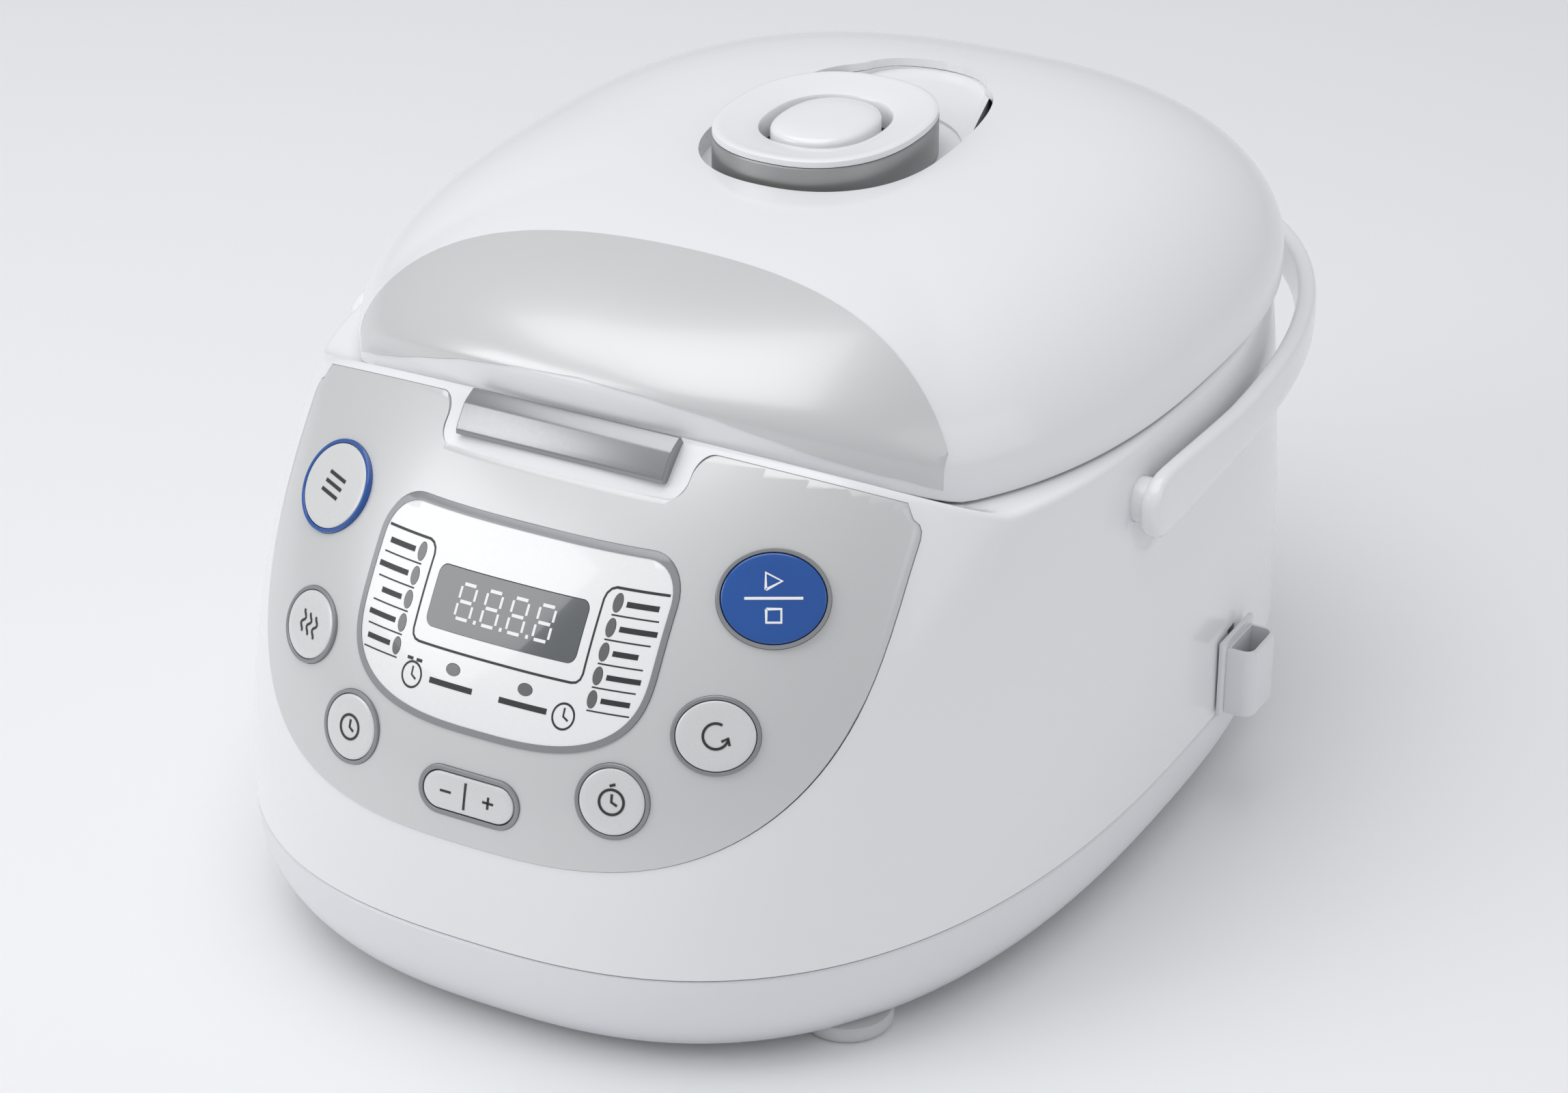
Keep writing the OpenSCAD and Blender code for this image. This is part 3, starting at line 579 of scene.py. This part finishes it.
lens_holes = [prism(oval_outline(x, z, w + 0.12, h + 0.12), -240, -120) for x, z, w, h in LIGHTS]
plate = combine(plate, join(prism(window_outline(0.2), -240, -120), *lens_holes))
piece("label_plate", plate, "body", LABEL_WHITE, "insert_white", "panel_insert", sharp=50)
ring = combine(layer(-0.58, 0.85, -60, 60, 88, 160), prism(insert_outline(0.0), -240, -120), "INTERSECT")
ring = combine(ring, prism(insert_outline(1.7), -240, -120))
piece("plate_rim", ring, "body", RING_GREY, "ring_grey", "insert_rim", sharp=50)
window = combine(layer(-2.4, 0.7, -30, 30, 116, 142, 1.5), prism(window_outline(), -240, -120), "INTERSECT")
piece("window", window, "body", WINDOW_GREY, "display_grey", "display_window", sharp=50)
lens = join(*[combine(layer(-3, 0.72, x - 4, x + 4, z - 4, z + 4, 0.5),
                      prism(oval_outline(x, z, w, h), -240, -120), "INTERSECT") for x, z, w, h in LIGHTS])
piece("lenses", lens, "body", LENS_GREY, "indicator_grey", "indicator_lights", sharp=50)

# keys: thin rings round nearly flush caps
def key_ring(k):
    w, h = k[4], k[5]
    rim = ((0.25, -5), (0.25, 0.55), (0.4, 0.72), (1.15, 0.75), (1.4, 0.55), (1.4, -5))
    return placed(loft([oval_ring(w + i, h + i, z) for i, z in rim], closed=True), on_front(*k[:4]))


piece("key_rings", join(*[key_ring(k) for name, k in KEYS.items() if name != "menu"]), "body", RING_GREY,
      "ring_grey", "key_bezels")
piece("menu_ring", key_ring(KEYS["menu"]), "body", INK_BLUE, "key_blue", "key_bezels")


def flat_ring(points, z):
    return [(x, y, z) for x, y in points]


def rocker_rings(pairs):
    return [flat_ring(stadium(w, w - 9.5), z) for w, z in pairs]


rim = [(15.4, -4), (15.4, 0.55), (15.6, 0.72), (16.5, 0.75), (16.8, 0.55), (16.8, -4)]
band = loft(rocker_rings(rim), closed=True)
piece("rocker_ring", placed(band, on_front(*ROCKER)), "body", RING_GREY, "ring_grey", "rocker_bezel")
CAP = [(0, -8), (0, 0.45), (0.2, 0.68), (0.6, 0.8), (2.5, 0.9), (5.5, 0.96), (8.0, 1.0)]
for name, k in KEYS.items():
    cap = placed(oval_solid(k[4], k[5], CAP), on_front(*k[:4]))
    piece(name + "_cap", cap, name, INK_BLUE if name == "start" else KEY_SKIN,
          "key_blue" if name == "start" else "key_white", name + "_key")
rim = [(15, -5), (15, 0.45), (14.8, 0.7), (14.3, 0.84), (12.8, 0.95), (11, 1.0)]
cap = loft(rocker_rings(rim), bottom=True, top=True)
cap = combine(cap, rod((0, -20, -3), (0, 20, -3), 1.11, 24))
piece("rocker_cap", placed(cap, on_front(*ROCKER)), "rocker", KEY_SKIN, "key_white", "time_rocker")

# ---------------------------------------------------------------- printed marks


def stroke(points, width, place, low, high, closed=False):
    """A printed line: a thin band along points, laid by place(u, v, h)."""
    rings = []
    count = len(points)
    for i, (u, v) in enumerate(points):
        a = points[i - 1] if closed or i else points[0]
        b = points[(i + 1) % count] if closed or i < count - 1 else points[i]
        run = Vector((b[0] - a[0], b[1] - a[1])).normalized() * (width / 2)
        side = (u - run.y, v + run.x), (u + run.y, v - run.x)
        rings.append([place(*side[0], low), place(*side[0], high),
                      place(*side[1], high), place(*side[1], low)])
    return loft(rings, closed=closed, bottom=not closed, top=not closed)


def on_plate(u, v, h):
    return u, front_y(u, v, h), v


def on_cap(matrix):
    return lambda u, v, h: tuple(matrix @ Vector((u, v, h)))


def line(x0, z0, x1, z1):
    return [(x0 + (x1 - x0) * t, z0 + (z1 - z0) * t) for t in steps(0, 1, 6)]


def round_mark(x, z, r):
    return [(x + r * cos(t), z + r * sin(t)) for t in turns(32)]


def plate_marks():
    """Frame lines, dashes for each programme's name and two small clocks,
    all generic: the plate carries no words."""
    parts = []

    def mark(points, width, closed=False):
        parts.append(stroke(points, width, on_plate, 0.5, 0.68, closed))
    for s in (-1, 1):
        mark(line(s * 46.6, 140.8, s * 31, 140.8) + [(s * 29.6, 140.3), (s * 28.6, 139.2), (s * 28.2, 137.8)]
             + line(s * 28.2, 136, s * 28.2, 119.6)[1:]
             + [(s * 27.8, 118.2), (s * 26.8, 117.3), (s * 25.4, 117)]
             + line(s * 24, 117, 0, 117), 0.6)
        for i, length in enumerate((9.5, 11, 7.5, 10, 8.5)):
            z = 137.4 - 5.85 * i
            mark(line(s * 35.2, z, s * (35.2 + length), z), 1.3)
            mark(line(s * 31.7, z - 2.85, s * (45.6 - 0.35 * i), z - 2.85), 0.35)
        x = s * 25.3
        mark(round_mark(x, 108.4, 3.3), 0.55, True)
        mark([(x, 110.6), (x, 108.4), (x + 1.6, 107.5)], 0.55)
    for x in (-26.9, -23.7):
        mark([(x - 1.0, 112.4), (x + 1.0, 112.4)], 0.8)
    mark(line(-19, 108.6, -4.5, 108.6), 1.5)
    mark(line(4.5, 108.6, 20, 108.6), 1.5)
    return join(*parts)


piece("plate_print", plate_marks(), "body", INK_DARK, "dark_plastic", sharp=50)


def digits():
    """Four unlit eights with a dot after each of the first three."""
    parts = []
    for i in range(4):
        x, w, low, mid, top = -16.3 + 8.7 * i, 5.8, 125.1, 129.25, 133.4
        bars = [line(x + 1, z, x + w - 1, z) for z in (low, mid, top)]
        bars += [line(e, z0 + 0.7, e, z1 - 0.7) for e in (x + 0.4, x + w - 0.4)
                 for z0, z1 in ((low, mid), (mid, top))]
        parts += [stroke(bar, 0.75, on_plate, 0.6, 0.78) for bar in bars]
        if i < 3:
            parts.append(stroke([(x + w + 1.1, 125.2), (x + w + 2.0, 125.2)], 0.9, on_plate, 0.6, 0.78))
    return join(*parts)


piece("display_digits", digits(), "body", INK_WHITE, "insert_white", sharp=50)


def key_mark(name, lines, ink, slot, width=0.75, closed=()):
    place = on_cap(on_front(*KEYS[name][:4]))
    parts = [stroke(points, width, place, 0.7, 1.12, i in closed) for i, points in enumerate(lines)]
    piece(name + "_mark", join(*parts), name, ink, slot, sharp=50)


CLOCK = [round_mark(0, 0, 3.6), [(0, 2.3), (0, 0), (1.7, -0.9)]]
key_mark("menu", [line(-4.6, v, 4.6, v) for v in (2.8, 0, -2.8)], INK_DARK, "dark_plastic", 1.1)
key_mark("keep_warm", [[(u + 0.8 * sin(v * 1.6), v) for v in steps(-3.2, 3.2, 12)] for u in (-3.2, 0, 3.2)],
         INK_DARK, "dark_plastic", 0.8)
key_mark("timer", CLOCK, INK_DARK, "dark_plastic", closed=(0,))
key_mark("preset", CLOCK + [line(-0.8, 4.6, -0.8 + 1.6, 5.2)], INK_DARK, "dark_plastic", closed=(0,))
key_mark("reheat", [arc(0, 0, 3.6, 60, 350, 24), [(3.9, -2.6), (3.5, -0.5), (1.6, -1.5)]],
         INK_DARK, "dark_plastic")
key_mark("start", [line(-8.2, 0, 8.2, 0), [(-2.2, 2.4), (-2.2, 7.2), (2.4, 4.8), (-2.2, 2.4)],
                   [(-2.1, -3), (2.1, -3), (2.1, -6.8), (-2.1, -6.8), (-2.1, -3)]],
         INK_WHITE, "insert_white", 0.8)
place = on_cap(on_front(*ROCKER))
sign = [line(-1, -4, -1, 4), line(-9.2, 0, -5.6, 0), line(5, 0, 8.6, 0), line(6.8, -1.8, 6.8, 1.8)]
piece("rocker_mark", join(*[stroke(points, 0.7, place, 0.7, 1.12) for points in sign]), "rocker", INK_DARK,
      "dark_plastic", sharp=50)

# ---------------------------------------------------------------- latch

profile = [(-144.0, 164.9), (-143.9, 166.4), (-142.8, 168.2), (-139.0, 172.9), (-137.9, 173.6),
           (-134.0, 175.4), (-133.2, 175.2), (-131.8, 173.0), (-127, 170.1), (-123.2, 167.8),
           (-123, 165.4), (-126, 164.5), (-141.5, 164.2)]
bar = prism(profile, -34.5, 34.5)
for v in bar.verts:
    v.co = (v.co.y, v.co.x, v.co.z)
bmesh.ops.recalc_face_normals(bar, faces=bar.faces)
soften(bar, 0.9, 3, 18)
bar = combine(bar, rod((-40, -126, 166.8), (40, -126, 166.8), 1.56, 32))
piece("latch_bar", bar, "latch", SILVER, "satin_silver", "latch_button", sharp=40)

# ---------------------------------------------------------------- lid

FALL = (0, 0.0006, 0.0018, 0.0038, 0.0066, 0.0105, 0.0155, 0.022, 0.03, 0.041, 0.055, 0.073, 0.095, 0.122,
        0.155,
        0.195, 0.24, 0.29, 0.345, 0.4, 0.46, 0.52, 0.58, 0.64, 0.7, 0.76, 0.82, 0.88)


def dome(d, low):
    rings = [lid_ring(1, d, lambda y, k=k: joint_z(y) + low + (9 - low) * k) for k in (0, 0.3, 0.6, 0.9)]
    return rings + [lid_ring(1 - s, d) for s in FALL[1:]]


def superoval(a, b, y, count=120, n=2.3):
    pts = []
    for t in turns(count):
        k = (abs(cos(t) / a) ** n + abs(sin(t) / b) ** n) ** (-1 / n)
        pts.append((k * cos(t), y + k * sin(t)))
    return pts


def vent_shape(e):
    return superoval(33 + e, 40 + e, VENT_Y)


def vent_well():
    """Egg-shaped recess round the vent, its tail swept to the back."""
    around = superoval(38, 45, VENT_Y + 3.5)
    front = [p for p in around if p[1] < VENT_Y + 3.5]
    turn_in = [(38 - 16 * (1 - cos(radians(a))), 21.5 + 62.5 * sin(radians(a))) for a in range(6, 84, 6)]
    tip = [(22 * cos(radians(a)), 84 + 17.6 * sin(radians(a))) for a in range(10, 171, 10)]
    front.sort(key=lambda p: p[0])
    egg = front + turn_in + tip + [(-x, y) for x, y in reversed(turn_in)]
    return join(prism(egg, VENT_Z, 240, "z"), prism(vent_shape(-15), 180, 198.5, "z"))


TRIM_LOW = ((0, 185.3), (22, 184.2), (42, 181), (60, 175.6), (76, 169.4), (91, 162.8), (99, 158))


def trim_region(e):
    half = []
    for i in range(61):
        x = 99 * i / 60
        for (x0, z0), (x1, z1) in zip(TRIM_LOW, TRIM_LOW[1:]):
            if x0 <= x <= x1:
                half.append((x, z0 + (z1 - z0) * (x - x0) / (x1 - x0) - e))
                break
    front = [(-x, z) for x, z in reversed(half)] + half[1:] + [(99 + e, 230), (-99 - e, 230)]
    back = rod((0, -73 - 239, 140), (0, -73 - 239, 240), 239 + e, 360)
    return combine(prism(front, -250, 0), back, "INTERSECT")


def lid_shell():
    outer = dome(0, 0.75)
    inner = dome(-2.6, 0.35)
    foot = [lid_ring(1, -0.45, lambda y: joint_z(y) + 0.35)]
    bm = loft(list(reversed(inner)) + foot + outer, bottom=True, top=True)
    skin = loft(list(reversed(dome(-0.9, 0.35))) + dome(2, 0.35), closed=True)
    bm = combine(bm, combine(skin, trim_region(0.2), "INTERSECT"))
    return combine(bm, vent_well())


piece("lid_dome", lid_shell(), "lid", SHELL_WHITE, "shell_white", "lid_cover", sharp=40)
skin = loft(list(reversed(dome(-0.85, 0.35))) + dome(0.3, 0.35), closed=True)
skin = combine(skin, trim_region(0.0), "INTERSECT")
piece("lid_front_trim", skin, "lid", PEARL, "pearl_panel", "lid_trim", sharp=40)


def vent_rings(pairs):
    return [[(x, y, VENT_Z + z) for x, y in vent_shape(e)] for e, z in pairs]


side = [(-6, 0.3), (-1.0, 0.3), (-0.6, 0.7), (-0.6, 12.1), (-0.9, 12.5), (-6, 12.5)]
wall = loft(vent_rings(side), closed=True)
piece("vent_wall", wall, "vent", VENT_SILVER, "satin_silver", "vent_body")


def vent_top():
    """White ring that falls gently to its oval mouth."""
    rings = vent_rings([(-5, 5.0), (-5, 12.6), (-1.1, 12.6), (-0.75, 12.9), (-0.7, 14.0), (-0.9, 14.6)])
    rings += vent_rings([(-1.6, 14.95)])
    rings += vent_rings([(-2.6, 15.0), (-4, 14.8), (-9, 13.9)])
    for w, h, z in ((20.2, 24.4, 13.3), (19.3, 23.4, 12.9), (19, 23, 12.2), (19, 23, 5.0)):
        rings.append([(x, y, VENT_Z + z) for x, y in superoval(w, h, VENT_Y)])
    return loft(rings, closed=True)


piece("vent_top", vent_top(), "vent", SHELL_WHITE, "shell_white")
floor = loft(vent_rings([(-5.2, 4.2), (-5.2, 4.9), (-16, 4.9)]), bottom=True, top=True)
piece("vent_floor", floor, "vent", DARK_ABS, "dark_plastic")


def vent_centre():
    rings = []
    for e, z in ((0, 4.95), (0, 12.2), (-0.3, 12.9), (-1.0, 13.5), (-2.6, 14.0), (-5.4, 14.4), (-9.5, 14.6)):
        rings.append([(x, y, VENT_Z + z) for x, y in superoval(15.6 + e, 20 + e, VENT_Y)])
    return loft(rings, bottom=True, top=True)


piece("vent_centre", vent_centre(), "vent", SHELL_WHITE, "shell_white", "vent_cap")

# ---------------------------------------------------------------- handle


END = 10.2


def handle_line():
    line = [(139.6, y) for y in (-43.15, -42.7, -41.8, -40.2, -37.6, -33.0, -28, -20, -10)]
    for i in range(61):
        t = pi / 2 * i / 60
        n = 2 / 2.6
        k = (abs(cos(t) / 139.6) ** 2.6 + abs(sin(t) / 198.6) ** 2.6) ** (-1 / 2.6)
        line.append((k * cos(t), k * sin(t)))
    return line + [(-x, y) for x, y in reversed(line[:-1])]


def handle():
    line = handle_line()
    rings = []
    for i, (x, y) in enumerate(line):
        a, b = line[max(0, i - 1)], line[min(len(line) - 1, i + 1)]
        d = Vector((b[0] - a[0], b[1] - a[1])).normalized()
        reach = END if y < -26 else END - 2.8 * min(1, (y + 26) / 50)
        if y < -33:
            reach = sqrt(max(0.2, END ** 2 - (y + 33) ** 2))
        thick = 3.4 if y > -40 else 3.4 * sqrt(max(0.05, 1 - ((-40 - y) / 3.4) ** 2))
        ring = []
        for t in turns(28):
            u = abs(cos(t)) ** 0.55 * (1 if cos(t) > 0 else -1) * thick
            w = abs(sin(t)) ** 0.6 * (1 if sin(t) > 0 else -1) * reach
            ring.append((x + d.y * u, y - d.x * u, 135 + w))
        rings.append(ring)
    bow = loft(rings, bottom=True, top=True)
    return join(bow, rod((120, -33, 135), (138, -33, 135), 7), rod((-138, -33, 135), (-120, -33, 135), 7))


piece("carry_handle", handle(), "handle", SHELL_WHITE, "shell_white", "handle", sharp=45)

# ---------------------------------------------------------------- scoop holder


def scoop():
    plate = soften(block(139.3, 141.1, 20.4, 44.4, 36, 62), 0.5, 3)
    outer = [(141.0, 22.4), (146.5, 22.4)] + arc(146.5, 26.4, 4, -80, 0, 8)
    outer += arc(146.5, 38.4, 4, 0, 80, 8) + [(146.5, 42.4), (141.0, 42.4)]
    cup = soften(prism(outer, 36.4, 59.4, "z"), 0.5, 3, 60)
    inner = [(142, 23.8), (146.2, 23.8)] + arc(146.2, 26.7, 2.9, -80, 0, 8)
    inner += arc(146.2, 38.1, 2.9, 0, 80, 8) + [(146.2, 41.0), (142, 41.0)]
    cup = combine(cup, prism(inner, 38, 68, "z"))
    hooks = [soften(block(133, 140, 30.4, 35.8, z, z + 2.4), 0.3, 2) for z in (38, 51)]
    return join(plate, cup, *hooks)


piece("scoop_cup", scoop(), "scoop", BASE_WHITE, "base_white", "scoop_holder")

# ---------------------------------------------------------------- stage, light, camera

floor = bmesh.new()
bmesh.ops.create_grid(floor, x_segments=1, y_segments=1, size=6)
mesh = bpy.data.meshes.new("floor")
floor.to_mesh(mesh)
floor.free()
ground = bpy.data.objects.new("floor", mesh)
mesh.materials.append(finish("studio_floor", "F4F4F5", "F7F7F8", 0.7, peel=8, height=0.02, drift=900))
bpy.context.scene.collection.objects.link(ground)

world = bpy.data.worlds.new("studio")
bpy.context.scene.world = world
world.use_nodes = True
world.node_tree.nodes["Background"].inputs["Color"].default_value = linear("F2F4F8")
world.node_tree.nodes["Background"].inputs["Strength"].default_value = 0.56


def lamp(name, place, aim, width, height, power, colour="FFFFFF"):
    data = bpy.data.lights.new(name, "AREA")
    data.shape, data.size, data.size_y, data.energy = "RECTANGLE", width, height, power
    data.color = linear(colour)[:3]
    ob = bpy.data.objects.new(name, data)
    ob.location = place
    ob.rotation_euler = (Vector(aim) - Vector(place)).to_track_quat("-Z", "Y").to_euler()
    bpy.context.scene.collection.objects.link(ob)


lamp("overhead", (-0.2, -0.1, 1.5), (0, 0, 0.1), 1.4, 1.2, 9)
lamp("front_left", (-1.1, -1.2, 1.0), (0, -0.05, 0.12), 0.9, 0.9, 6.5)
lamp("right_fill", (1.5, -0.1, 0.7), (0.05, 0, 0.1), 0.7, 0.9, 1.2)

bpy.context.scene.view_settings.view_transform = "Standard"
eye = bpy.data.cameras.new("camera")
eye.lens, eye.sensor_width, eye.sensor_fit = 90.18, 36, "HORIZONTAL"
eye.clip_start, eye.clip_end = 0.05, 30
camera = bpy.data.objects.new("camera", eye)
camera.location = (0.53135, -0.9935, 0.6584)
camera.rotation_euler = (radians(62.5), 0, radians(28.5345))
bpy.context.scene.collection.objects.link(camera)
bpy.context.scene.camera = camera
